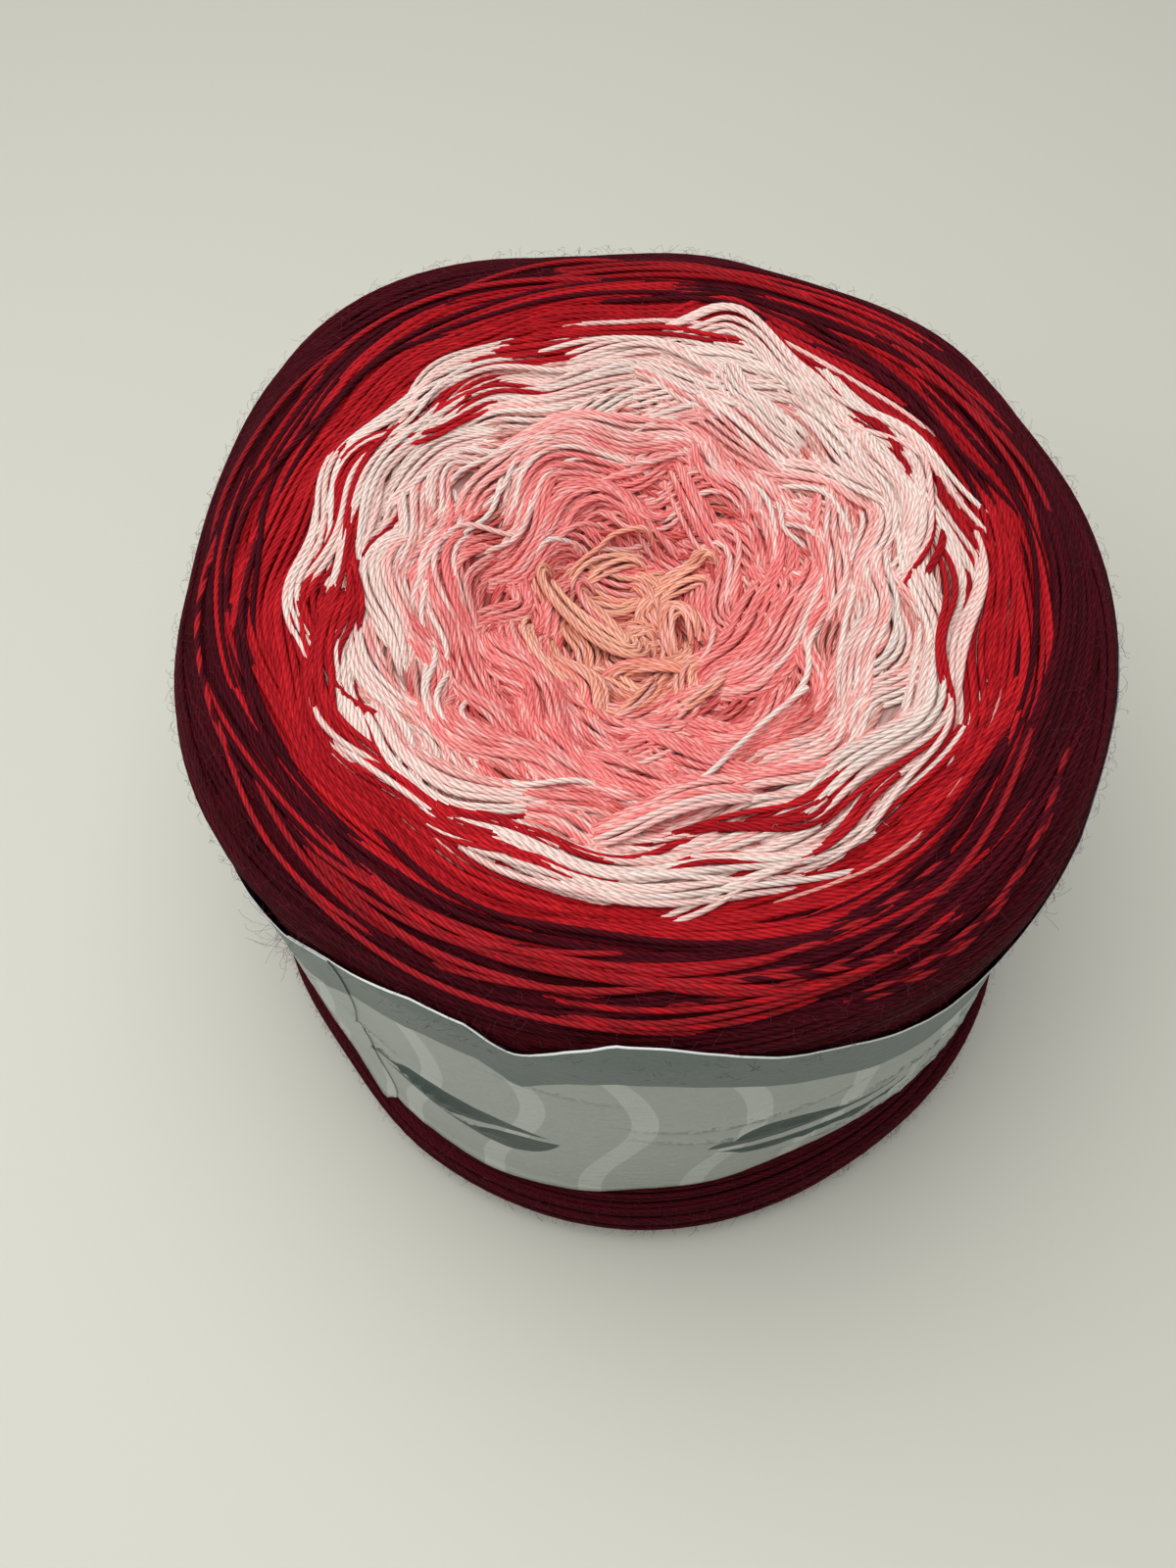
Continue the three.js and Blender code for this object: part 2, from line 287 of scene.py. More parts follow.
def yarn_finish():
    material, tree, surface = new_finish("four_thread_yarn")
    along, around = own_place(tree)
    turn = plus(tree, times(tree, along, 1 / TWIST_LENGTH), around)
    thread = times(tree, turn, float(THREADS))
    ridge = unsigned(tree, sine(tree, times(tree, thread, math.pi)))
    number = maths(tree, "FLOOR", maths(tree, "FLOORED_MODULO", thread, float(THREADS)))
    first = add_node(tree, "ShaderNodeAttribute", attribute_name="tint")
    second = add_node(tree, "ShaderNodeAttribute", attribute_name="second_tint")
    in_second = maths(tree, "LESS_THAN", times(tree, number, 1 / THREADS), second.outputs["Alpha"])
    dye = mixed(tree, in_second, first.outputs["Color"], second.outputs["Color"])
    drawn_out = {0: times(tree, along, SPECKLE_ALONG), 1: times(tree, turn, SPECKLE_AROUND)}
    drawn_out = add_node(tree, "ShaderNodeCombineXYZ", drawn_out).outputs[0]
    fibre = noise(tree, 2.2, 3.0, Vector=drawn_out)
    # Painted shade and highlight: the dye is deepened and darkened in the grooves and lightened on the
    # thread tops.
    ridge_light = maths(tree, "POWER", ridge, GROOVE_SHARPNESS)
    shade_deepened = mixed(tree, ranged(tree, ridge_light, GROOVE_SHADE_DEEPENS, 0.0), dye, squared(tree, dye))
    speckle = ranged(tree, fibre, *SPECKLE_TONES, 0.3, 0.7)
    tone = times(tree, ranged(tree, ridge_light, *GROOVE_SHADE_TO_RIDGE_HIGHLIGHT), speckle)
    relief = plus(tree, ridge, times(tree, fibre, 0.8))
    constants = {"Roughness": 0.8, "Specular IOR Level": 0.1, "Sheen Weight": 0.12}
    set_surface(tree, surface, toned(tree, shade_deepened, tone), relief, 0.7, 0.0002, constants)
    tree.links.new(dye, surface.inputs["Sheen Tint"])
    return material


YARN_FINISH = yarn_finish()
print("yarn finish has", len(YARN_FINISH.node_tree.nodes), "nodes")

# %% [markdown]
# A strand is drawn as a thin tube. The strands of one part of the cake are joined into one mesh,
# since a cake holds many hundreds of visible turns. Each strand keeps its own two colours.

# %% Making tubes
YARN_DIAMETER = 0.94
TUBE_SIDES = 6
TUBE_FLATTENING = 0.9


def tube_rings(points, outs, radius, sides):
    """Rings of vertices round a line of points."""
    along = np.gradient(points, axis=0)
    along /= np.linalg.norm(along, axis=1, keepdims=True) + 1e-9
    across = np.cross(along, outs)
    across /= np.linalg.norm(across, axis=1, keepdims=True) + 1e-9
    up = np.cross(across, along)
    turns = 2 * math.pi * np.arange(sides) / sides
    wide = np.cos(turns)[None, :, None] * across[:, None, :]
    high = TUBE_FLATTENING * np.sin(turns)[None, :, None] * up[:, None, :]
    return points[:, None, :] + np.asarray(radius).reshape(-1, 1, 1) * (wide + high)


def tube_faces(rings, sides, first):
    """The faces of a tube, and the step along and the share around of each face's corners."""
    step, side = np.meshgrid(np.arange(rings - 1), np.arange(sides), indexing="ij")
    steps = np.stack([step, step + 1, step + 1, step], axis=-1).reshape(-1, 4)
    turns = np.stack([side, side, side + 1, side + 1], axis=-1).reshape(-1, 4)
    return first + steps * sides + turns % sides, steps, turns / sides


def mesh_object(name, vertices, faces, finish):
    """A smooth mesh of four-sided faces, given in millimetres."""
    mesh = bpy.data.meshes.new(name)
    mesh.vertices.add(len(vertices))
    mesh.vertices.foreach_set("co", (np.asarray(vertices) * MM).ravel())
    mesh.loops.add(faces.size)
    mesh.loops.foreach_set("vertex_index", faces.ravel().astype(np.int32))
    mesh.polygons.add(len(faces))
    mesh.polygons.foreach_set("loop_start", np.arange(0, faces.size, faces.shape[1], dtype=np.int32))
    mesh.update(calc_edges=True)
    mesh.shade_smooth()
    mesh.materials.append(finish)
    obj = bpy.data.objects.new(name, mesh)
    bpy.context.scene.collection.objects.link(obj)
    return obj


def add_tint(mesh, name, values):
    layer = mesh.attributes.new(name, "FLOAT_COLOR", "POINT")
    layer.data.foreach_set("color", np.asarray(values, dtype=np.float32).ravel())


def add_places(mesh, name, values):
    """Keeps two numbers for each corner of each face, as the mesh's UV."""
    layer = mesh.uv_layers.new(name=name)
    layer.data.foreach_set("uv", np.asarray(values, dtype=np.float32).ravel())


def lengths_along(points):
    """How far along a line each of its points lies."""
    return np.concatenate([[0], np.cumsum(np.linalg.norm(np.diff(points, axis=0), axis=1))])


def strand_object(name, strands, finish, sides=TUBE_SIDES):
    """Joins strands into one object. Each strand is a dictionary like the loose end's below."""
    vertices, faces, places, tints, seconds = [], [], [], [], []
    first = 0
    for strand in strands:
        rings = tube_rings(strand["points"], strand["outs"], strand["radius"], sides)
        count = len(rings)
        quads, steps, turns = tube_faces(count, sides, first)
        vertices.append(rings.reshape(-1, 3))
        faces.append(quads)
        lengths = lengths_along(strand["points"]) + strand["phase"]
        places.append(np.stack([lengths[steps], turns], axis=-1))
        tints.append(np.tile([*strand["tint"], 1.0], (count * sides, 1)))
        seconds.append(np.tile([*strand["second"], strand["share"]], (count * sides, 1)))
        first += count * sides
    obj = mesh_object(name, np.concatenate(vertices), np.concatenate(faces), finish)
    add_places(obj.data, "along_and_around", np.concatenate(places))
    add_tint(obj.data, "tint", np.concatenate(tints))
    add_tint(obj.data, "second_tint", np.concatenate(seconds))
    print(name, "holds", len(strands), "strands in", len(obj.data.polygons), "faces")
    return obj


# %% [markdown]
# The loose end is where the maker would start to knit or crochet. It comes up out of a crevice
# on the right of the middle and lies over the turns, ending in a blunt cut. It is the only free
# cord of this object.

# %% The loose end
LOOSE_END_LIFT = 1.8
LOOSE_END_STEP = 0.8
LOOSE_END_ROUTE = [
    (2.2, -43.4), (5.5, -40.8), (8.9, -37.6), (11.6, -34.0),
    (14.2, -30.6), (17.4, -27.4), (20.8, -24.6), (24.2, -22.2),
]
HIGH_ABOVE = 200.0
WHITE = linear(242, 224, 214)
LOOSE_END_PINK = linear(246, 196, 190)


def height_at(x, y):
    return cake_form.ray_cast(Vector((x, y, HIGH_ABOVE)), Vector((0, 0, -1)))[0].z


def resampled(points, step):
    """The same line with points a step apart."""
    points = np.asarray(points, dtype=float)
    lengths = lengths_along(points)
    places = np.linspace(0, lengths[-1], max(int(lengths[-1] / step) + 1, 3))
    return np.stack([np.interp(places, lengths, values) for values in points.T], axis=1)


end_route = [(x, y, height_at(x, y) + LOOSE_END_LIFT) for x, y in LOOSE_END_ROUTE]
end_line = evened(resampled(end_route, LOOSE_END_STEP), 6)
loose_end = strand_object("loose_end_of_yarn", [{
    "points": end_line,
    "outs": np.tile([0.0, 0.0, 1.0], (len(end_line), 1)),
    "radius": YARN_DIAMETER / 2,
    "tint": WHITE,
    "second": LOOSE_END_PINK,
    "share": 0.25,
    "phase": 0.0,
}], YARN_FINISH)
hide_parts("loose_end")
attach(loose_end, "root")

# %% [markdown]
# The colour of a turn goes by how far out it was wound. The borders between the colours aren't
# quite round, because some bundles have slipped in or out, so they are given every so often
# round the cake. Near a border strands of both colours lie side by side.

# %% The colours by reach
BORDERS = table("azimuth peach pink pale white red", [
    (0, 10, 27, 38, 51, 62),
    (40, 10, 29, 39, 53, 64),
    (64, 10, 30, 39, 59, 66),
    (86, 10, 31, 38, 51, 67),
    (110, 12, 31, 38, 47, 67),
    (135, 13, 31, 37, 47, 64),
    (160, 13, 30, 35, 46, 62),
    (190, 12, 32, 37, 46, 62),
    (220, 12, 36, 41, 50, 63),
    (250, 13, 39, 43, 51, 63),
    (285, 14, 37, 42, 51, 62),
    (310, 13, 34, 41, 53, 62),
    (330, 12, 30, 39, 52, 62),
])
PEACH = linear(248, 190, 164)
DEEP_PEACH = linear(232, 140, 116)
PINK = linear(246, 148, 144)
DEEP_PINK = linear(238, 122, 120)
PALE_PINK = linear(248, 190, 182)
RED = linear(200, 32, 40)
DEEP_RED = linear(152, 15, 27)
MAROON = linear(86, 8, 24)
DEEP_MAROON = linear(58, 4, 15)
ZONES = table("border tint other beside blur", [
    ("peach", PEACH, DEEP_PEACH, PALE_PINK, 2.4),
    ("pink", PINK, DEEP_PINK, PALE_PINK, 2.6),
    ("pale", PALE_PINK, PINK, WHITE, 3.0),
    ("white", WHITE, PALE_PINK, WHITE, 2.6),
    ("red", RED, DEEP_RED, DEEP_RED, 2.6),
    (None, MAROON, DEEP_MAROON, DEEP_MAROON, 0),
])
TOWARDS_OTHER = (0, 0.7)
TOWARDS_BESIDE = (0.2, 0.8)
SWAPPED_CHANCE = 0.25
DYE_TONES = (0.9, 1.04)
SECOND_SHARES = [0.0, 0.25, 0.25, 0.5]


def border_reach(name, azimuth):
    azimuths = [row["azimuth"] for row in BORDERS] + [360]
    reaches = [row[name] for row in BORDERS] + [BORDERS[0][name]]
    return float(np.interp(math.degrees(azimuth) % 360, azimuths, reaches))


def dyed(azimuth, reach, mixing=1.0):
    """The two near colours of a strand wound at this place, and the second one's share."""
    blur = mixing * rng.normal()
    for zone in ZONES:
        if not zone["border"] or reach + blur * zone["blur"] < border_reach(zone["border"], azimuth):
            break
    tint = zone["tint"] + (zone["other"] - zone["tint"]) * rng.uniform(*TOWARDS_OTHER)
    second = tint + (zone["beside"] - tint) * rng.uniform(*TOWARDS_BESIDE)
    if rng.random() < SWAPPED_CHANCE:
        tint, second = second, tint
    return tint * rng.uniform(*DYE_TONES), second, rng.choice(SECOND_SHARES)


print("red ends at", border_reach("red", math.radians(270)), "mm in front")

# %% [markdown]
# A bundle is a group of turns that slipped together. Its strands lie side by side along one
# guide line, crowned in the middle, and draw together and dive under their neighbours at both
# ends. The guide is laid out on a flat disc, where the reach is the radius, so that strands
# keep their distance from each other where the bundle bends.

# %% Bundles of strands
SWAY = table("waves per_reach size peak spread", [
    (5, 0.20, 1.6, 18, 13),
    (7, -0.26, 1.7, 29, 12),
    (10, 0.32, 1.5, 39, 12),
    (12, -0.20, 0.9, 49, 10),
    (6, 0.10, 0.6, 62, 16),
])
GUIDE_POINTS = 48
GUIDE_EVENING = 12
BODY_POWER = 0.55
END_WIDTH = 0.45
WIDTH_WAVES = 0.18
WIDEST = 1.2
MOST_SPIN = 0.9
STRAND_WANDER = 0.25
STRAND_JITTER = 0.06
CROWN_FALL = 0.75
CROWN_SUNK = 0.75
LIFT_JITTER = 0.12
TAPER_SHARE = 0.07
TIP_SIZE = 0.2
STRAND_SIZES = (0.95, 1.1)


def sway(azimuth, reach):
    """How far the turns have slipped outwards here. Neighbouring turns slip together."""
    slip = 0.0
    for number, row in enumerate(SWAY):
        strength = row["size"] * np.exp(-((reach - row["peak"]) / row["spread"]) ** 2)
        slip = slip + strength * np.sin(row["waves"] * azimuth + row["per_reach"] * reach + number * 1.9)
    return slip


def guide_line(start, end, radii, step, slipping=1.0):
    """The middle line of a bundle on the flat disc, through radii at even azimuths."""
    share = np.linspace(0, 1, GUIDE_POINTS)
    turns = np.radians(start + (end - start) * share)
    reaches = evened(np.interp(share, np.linspace(0, 1, len(radii)), radii), GUIDE_EVENING)
    reaches = reaches + slipping * sway(turns, reaches)
    return resampled(np.stack([reaches * np.cos(turns), reaches * np.sin(turns)], axis=1), step)


def wavering(share, slowest, fastest):
    """A sine along a line, at a chance pace and from a chance place."""
    return np.sin(share * rng.uniform(slowest, fastest) + rng.uniform(0, 6))


def plain_strand(points, outs, tint, second, share, size=1.0):
    """A strand whose twist starts at a chance place."""
    return {
        "points": points,
        "outs": outs,
        "radius": YARN_DIAMETER / 2 * size,
        "tint": tint,
        "second": second,
        "share": share,
        "phase": rng.uniform(0, TWIST_LENGTH),
    }


def bundle(guide, strands, half_width, rise, lift, dive=2.3):
    """The strands of one bundle, draped over the form."""
    along = np.gradient(guide, axis=0)
    along /= np.linalg.norm(along, axis=1, keepdims=True) + 1e-9
    sideways = np.stack([-along[:, 1], along[:, 0]], axis=1)
    share = np.linspace(0, 1, len(guide))
    body = np.clip(np.sin(math.pi * share), 0, 1) ** BODY_POWER
    width = half_width * (END_WIDTH + (1 - END_WIDTH) * body)
    width = width * (1 + WIDTH_WAVES * np.sin(share * 7 + rng.uniform(0, 6)))
    spin = rng.uniform(-MOST_SPIN, MOST_SPIN)
    made = []
    for place in np.linspace(-1, 1, strands):
        wander = rng.normal(0, STRAND_WANDER) * wavering(share, 2, 6)
        across = place + rng.normal(0, STRAND_JITTER) + spin * (share - 0.5)
        across = np.clip(across, -WIDEST, WIDEST)
        line = guide + sideways * (width * across + wander)[:, None]
        reaches = np.linalg.norm(line, axis=1)
        azimuths = np.arctan2(line[:, 1], line[:, 0])
        crown = rise * (np.sqrt(np.clip(1 - CROWN_FALL * across ** 2, 0, 1)) - CROWN_SUNK) * body
        lifts = lift + crown - dive * (1 - body) + rng.uniform(-LIFT_JITTER, LIFT_JITTER)
        points, outs = on_cake(azimuths, reaches, lifts)
        middle = len(line) // 2
        tint, second, amount = dyed(azimuths[middle], reaches[middle])
        tapered = np.clip(np.minimum(share, 1 - share) / TAPER_SHARE, TIP_SIZE, 1)
        size = rng.uniform(*STRAND_SIZES) * tapered
        made.append(plain_strand(evened(points), outs, tint, second, amount, size))
    return made


# %% [markdown]
# Under the slipped bundles lie rounds of bundles that fill the whole top and go over the
# shoulder. Near the middle they are short and wavy. Near the rim the machine's winding still
# shows: long shallow arcs that cross each other at a small angle.

# %% Rounds of bundles
ROUNDS = table("reach bundles span wave drift strands rise step", [
    (4, 4, 120, 0.8, 0.6, 5, 1.4, 1.0),
    (9, 5, 100, 2.2, 1.8, 6, 2.0, 1.4),
    (14, 6, 84, 2.8, 2.4, 7, 2.4, 1.5),
    (18, 8, 70, 3.0, 2.6, 7, 2.6, 1.5),
    (22, 9, 62, 3.0, 2.6, 7, 2.6, 1.5),
    (26, 10, 56, 3.0, 2.8, 7, 2.6, 1.5),
    (30, 11, 52, 2.8, 2.8, 7, 2.4, 1.5),
    (34, 12, 48, 2.6, 2.8, 7, 2.4, 1.6),
    (38, 12, 46, 2.4, 2.6, 7, 2.2, 1.6),
    (42, 13, 44, 2.0, 2.6, 7, 2.0, 1.7),
    (46, 11, 56, 1.6, 2.8, 7, 1.8, 1.9),
    (50, 10, 66, 1.3, 3.2, 7, 1.5, 2.2),
    (54, 9, 76, 1.0, 3.8, 7, 1.1, 2.5),
    (58, 9, 80, 0.6, 4.2, 7, 0.9, 2.8),
    (62, 9, 84, 0.4, 4.4, 7, 0.8, 3.0),
    (66, 9, 84, 0.3, 4.4, 7, 0.8, 3.2),
    (70, 9, 84, 0.3, 4.0, 7, 0.7, 3.2),
    (74, 9, 84, 0.3, 3.6, 7, 0.6, 3.2),
    (78, 9, 84, 0.2, 3.0, 7, 0.5, 3.4),
    (82, 9, 84, 0.2, 2.4, 7, 0.4, 3.4),
    (86, 9, 84, 0.2, 1.8, 7, 0.4, 3.4),
])
CHORD_SHARE = 0.03
ROUND_HALF_WIDTH = 2.8
ROUND_LIFTS = (-1.0, 0.0)


def round_of_bundles(row):
    made = []
    start = rng.uniform(0, 360)
    for number in range(row["bundles"]):
        middle = start + 360 * (number + rng.uniform(-0.2, 0.2)) / row["bundles"]
        half = row["span"] / 2 * rng.uniform(0.85, 1.15)
        share = np.linspace(-1, 1, 9)
        drift = row["drift"] * rng.choice([-1, 1]) * rng.uniform(0.4, 1.1) * share
        wave = row["wave"] * rng.uniform(0.4, 1.0) * wavering(share, 2.5, 4.5)
        chord = CHORD_SHARE * row["reach"] * (1.5 * share ** 2 - 0.5)
        radii = row["reach"] + drift + wave + chord
        guide = guide_line(middle - half, middle + half, radii, row["step"])
        made += bundle(guide, row["strands"], ROUND_HALF_WIDTH, row["rise"], rng.uniform(*ROUND_LIFTS))
    return made


round_strands = [(row["reach"], strand) for row in ROUNDS for strand in round_of_bundles(row)]
PARTS_OF_TOP = table("name upto", [
    ("inner_turns", 32),
    ("middle_turns", 50),
    ("outer_turns", 66),
    ("shoulder_turns", 100),
])
yarn_objects = []
reach_before = 0
for part in PARTS_OF_TOP:
    chosen = [strand for reach, strand in round_strands if reach_before <= reach < part["upto"]]
    yarn_objects.append(strand_object(part["name"], chosen, YARN_FINISH))
    reach_before = part["upto"]

# %% [markdown]
# Where two bundles part, the turns beneath them show. They could be a painted surface, but a
# painted one looks flat from close by, so they are strands too: a bed of plain turns a strand's
# width deeper. They are drawn with fewer sides and a deeper colour, as they lie in the shade.

# %% The bed of plain turns
BED_DEPTH = 0.8
BED_SPACING = 0.85
BED_ARCS = 5
BED_SHADE = np.array([0.82, 0.54, 0.52])
BED_ARC_OVERLAP = 1.15
BED_SLANT = 1.2
BED_TOP_ENDS = 86.0
BED_WALL_DEPTH = 0.35
BED_ENDS = 101.0
LONE_HALF_WIDTH = 0.1


def bed_turn(reach):
    """One turn of the bed, in arcs that each slant a little. On the wall it is the outermost turn."""
    made = []
    on_wall = reach > BED_TOP_ENDS
    depth = BED_WALL_DEPTH if on_wall else BED_DEPTH
    step = 2.4 if reach < SHOULDER_FROM else 3.4
    start = rng.uniform(0, 360)
    half = 180 / BED_ARCS * BED_ARC_OVERLAP
    for number in range(BED_ARCS):
        middle = start + 360 * number / BED_ARCS
        slant = rng.uniform(-BED_SLANT, BED_SLANT)
        guide = guide_line(middle - half, middle + half, [reach - slant, reach, reach + slant], step)
        made += bundle(guide, 1, LONE_HALF_WIDTH, 0.0, -depth, dive=0.5)
    for strand in made:
        shade = 1.0 if on_wall else BED_SHADE
        strand["tint"] = strand["tint"] * shade
        strand["second"] = strand["second"] * shade
    return made


bed_strands = [strand for reach in np.arange(2.5, BED_ENDS, BED_SPACING) for strand in bed_turn(reach)]
yarn_objects.append(strand_object("bed_of_turns", bed_strands, YARN_FINISH, sides=4))

# %% [markdown]
# The slipped bundles that give this cake its look are laid one by one. Each row is one bundle,
# with its two end azimuths and four radii about the middle of the winding.

# %% The slipped bundles
SLIPPED = table("from to radii half_width strands", [
    (126, 60, [36, 36, 33, 32], 3.4, 9),
    (140, 76, [27, 30, 30, 27], 3.2, 8),
    (138, 72, [19, 24, 23, 18], 3.0, 8),
    (76, 36, [30, 24, 19, 20], 3.0, 8),
    (72, 34, [34, 29, 29, 26], 3.0, 8),
    (34, -58, [30, 21, 12, 15], 3.4, 9),
    (20, -50, [31, 25, 20, 17], 3.4, 9),
    (180, 250, [22, 17, 20, 27], 3.6, 9),
    (190, 256, [16, 12, 12, 19], 3.0, 8),
    (144, 188, [30, 30, 29, 27], 3.4, 8),
    (204, 262, [35, 34, 31, 33], 3.4, 9),
    (246, 286, [29, 26, 33, 38], 3.2, 8),
    (262, 302, [20, 22, 32, 40], 3.2, 8),
    (270, 316, [42, 37, 40, 43], 3.8, 10),
    (202, 252, [43, 46, 42, 35], 3.8, 10),
    (84, 44, [53, 58, 51, 50], 3.4, 9),
    (72, 42, [51, 43, 40, 42], 3.4, 9),
    (76, 36, [45, 37, 37, 37], 3.2, 8),
    (44, 8, [50, 46, 46, 43], 3.2, 8),
    (38, -6, [50, 52, 47, 40], 3.2, 8),
    (36, -10, [38, 33, 30, 33], 3.2, 8),
    (122, 178, [50, 47, 45, 42], 3.2, 8),
    (172, 216, [44, 46, 49, 51], 3.4, 9),
    (222, 288, [50, 47, 48, 50], 3.4, 9),
    (286, 350, [47, 44, 48, 46], 3.6, 9),
    (118, 84, [45, 42, 43, 46], 3.4, 9),
    (148, 200, [36, 38, 36, 37], 3.2, 8),
    (16, -40, [40, 38, 36, 40], 3.4, 9),
])
SLIPPED_STEP = 1.5
SLIPPED_RISE = 2.4
SLIPPED_LIFT = 0.3
OVER_END_RADII = [42, 39, 37.5, 40]
slipped_strands = []
for row in SLIPPED:
    guide = guide_line(row["from"], row["to"], row["radii"], SLIPPED_STEP, slipping=0.6)
    slipped_strands += bundle(guide, row["strands"], row["half_width"], SLIPPED_RISE, SLIPPED_LIFT)

# One more bundle lies over the hidden start of the loose end.
guide = guide_line(258, 296, OVER_END_RADII, SLIPPED_STEP, slipping=0.0)
slipped_strands += bundle(guide, strands=6, half_width=2.2, rise=0.8, lift=2.7, dive=4.6)
yarn_objects.append(strand_object("slipped_bundles", slipped_strands, YARN_FINISH))

# %% [markdown]
# In the dip the first turns have lost their hold altogether and stand as soft peach loops. Each
# row is one loop: a part of an ellipse about its own middle, with its strands side by side.

# %% The peach loops
LOOPS = table("x y long short turn start sweep strands lift", [
    (-6.8, -0.6, 9.6, 2.6, -46, 165, 255, 5, 2.2),
    (-4.2, 0.6, 6.4, 1.6, -50, 150, 200, 3, 1.4),
    (7.4, -4.2, 4.8, 2.4, 100, -110, 230, 4, 1.6),
    (1.5, -13.5, 6.5, 3.2, 0, 20, 140, 4, 1.0),
    (-2.0, -16.5, 6.0, 2.4, 50, 190, 150, 4, 0.8),
    (5.5, -17.5, 7.0, 2.2, 24, 200, 150, 4, 0.8),
    (-3.0, 7.5, 7.0, 3.0, 20, 15, 140, 6, 1.2),
    (1.0, 3.5, 4.5, 2.6, -55, 20, 150, 5, 1.0),
    (8.0, 3.0, 6.5, 3.0, 28, 15, 150, 6, 1.0),
    (-12.5, -7.0, 7.0, 3.0, 110, 30, 160, 5, 0.4),
    (1.0, -4.0, 3.6, 2.0, 30, 0, 330, 3, 0.2),
])
LOOP_POINTS = 34
LOOP_STRANDS_APART = 0.72
LOOP_TURNS_BY = 14
LOOP_WANDER = 0.3
LOOP_NARROWEST = 0.6
LOOP_DIVE = 2.6
LOOP_DYE_REACH = 7.0


def peach_loop(row):
    made = []
    turn = math.radians(row["turn"])
    for number in range(row["strands"]):
        outwards = LOOP_STRANDS_APART * (number - (row["strands"] - 1) / 2)
        degrees = np.linspace(row["start"], row["start"] + row["sweep"], LOOP_POINTS)
        angles = np.radians(degrees + rng.uniform(-LOOP_TURNS_BY, LOOP_TURNS_BY))
        wander = LOOP_WANDER * wavering(angles, 1.5, 3.0)
        wide = (row["long"] + outwards) * np.cos(angles) + wander
        high = max(row["short"] + outwards, LOOP_NARROWEST) * np.sin(angles) + wander
        xs = row["x"] + wide * math.cos(turn) - high * math.sin(turn) - WINDING_MIDDLE[0]
        ys = row["y"] + wide * math.sin(turn) + high * math.cos(turn) - WINDING_MIDDLE[1]
        body = np.sin(np.linspace(0, math.pi, LOOP_POINTS)) ** 0.5
        lifts = row["lift"] + 0.6 * rng.uniform(-1, 1) - LOOP_DIVE * (1 - body)
        points, outs = on_cake(np.arctan2(ys, xs), np.hypot(xs, ys), lifts)
        tint, second, share = dyed(0.0, LOOP_DYE_REACH, 0.8)
        made.append(plain_strand(evened(points, 4), outs, tint, second, share))
    return made


loop_strands = [strand for row in LOOPS for strand in peach_loop(row)]
yarn_objects.append(strand_object("peach_loops", loop_strands, YARN_FINISH))

# %% [markdown]
# Here and there one strand has pulled out of its bundle and lies across the others, often with
# the colour of a turn further in or out: white over pink, white in the red, red over maroon.

# %% Single strands
SINGLES = table("reach spread drift count from to span colour_from strands", [
    (16, 4, 2, 5, 0, 360, 60, 36, 1),
    (24, 5, 2, 14, 0, 360, 44, 38, 1),
    (33, 4, 3, 24, 0, 360, 40, 44, 1),
    (46, 4, 3, 26, 0, 360, 50, 57, 2),
    (50, 2, 5, 11, 0, 360, 60, 43, 3),
    (51, 3, 5, 12, 0, 360, 64, 43, 1),
    (67, 2, 2, 12, 0, 200, 60, 62, 1),
    (68, 5, 3, 30, 216, 318, 56, 62, 1),
    (60, 2, 3, 22, 0, 360, 60, 80, 1),
])
RED_FROM = 62
STRAY_RED = linear(176, 34, 42)
STRAY_STEP = 1.8
STRAY_LIFT = 0.65
STRAY_DIVE = 3.2


def strands_astray(row):
    """One to three strands side by side, which end one after the other."""
    made = []
    middle = rng.uniform(row["from"], row["to"])
    half = row["span"] / 2 * rng.uniform(0.7, 1.2)
    share = np.linspace(-1, 1, 9)
    reach = row["reach"] + rng.uniform(-1, 1) * row["spread"]
    wave = (1.8 - 0.02 * reach) * rng.uniform(0.3, 1) * np.sin(share * 4 + rng.uniform(0, 6))
    radii = reach + row["drift"] * rng.choice([-1, 1]) * rng.uniform(0.3, 1) * share + wave
    for number in range(row["strands"]):
        first, last = np.array([-half, half]) * rng.uniform(0.7, 1.1, 2)
        guide = guide_line(middle + first, middle + last, radii + number * YARN_DIAMETER, STRAY_STEP)
        strand = bundle(guide, 1, LONE_HALF_WIDTH, 0.0, STRAY_LIFT, dive=STRAY_DIVE)[0]
        dye = dyed(math.radians(middle), row["colour_from"], 0.0)
        strand["tint"], strand["second"], strand["share"] = dye
        if row["colour_from"] == RED_FROM:
            strand["tint"] = STRAY_RED * rng.uniform(0.6, 1.0)
        made.append(strand)
    return made


strays = [strand for row in SINGLES for _ in range(row["count"]) for strand in strands_astray(row)]
yarn_objects.append(strand_object("single_strands", strays, YARN_FINISH))

# %% [markdown]
# Below the band the yarn bulges out a little and turns under. The machine's first side is flat,
# with plain rounds of yarn, and the cake stands on it. These turns lie close and even.

# %% The foot and the underside
FOOT_RADIUS = 70.0
FOOT_TURNS_FROM = FOOT_FROM - 13
FOOT_SPACING = 0.7
FOOT_LIFTS = (-0.3, 0.1)
FOOT_SLANTS = (0.3, 1.1)
FOOT_STEP = 3.4
UNDER_TURNS_TO = REACH_END - 2
UNDER_SPACING = 1.1
UNDER_LIFT = -YARN_DIAMETER / 2
UNDER_STEP = 4.0
foot_reaches = np.arange(FOOT_TURNS_FROM, UNDER_FROM, FOOT_SPACING)
under_reaches = np.arange(UNDER_FROM, UNDER_TURNS_TO, UNDER_SPACING)


def plain_round(reach, lift, step):
    """One closed turn. Those on the foot slant a little."""
    across = FOOT_RADIUS if reach < UNDER_FROM else REACH_END - reach
    count = max(int(2 * math.pi * across / step), 12)
    turns = np.linspace(0, 2 * math.pi, count + 1) + rng.uniform(0, 6)
    slant = rng.uniform(*FOOT_SLANTS) * np.sin(turns + rng.uniform(0, 6)) * (reach < UNDER_FROM)
    points, outs = on_cake(turns, reach + slant, np.full(len(turns), lift))
    tint, second, share = dyed(0.0, WALL_FROM, 0.0)
    return plain_strand(points, outs, tint, second, share)


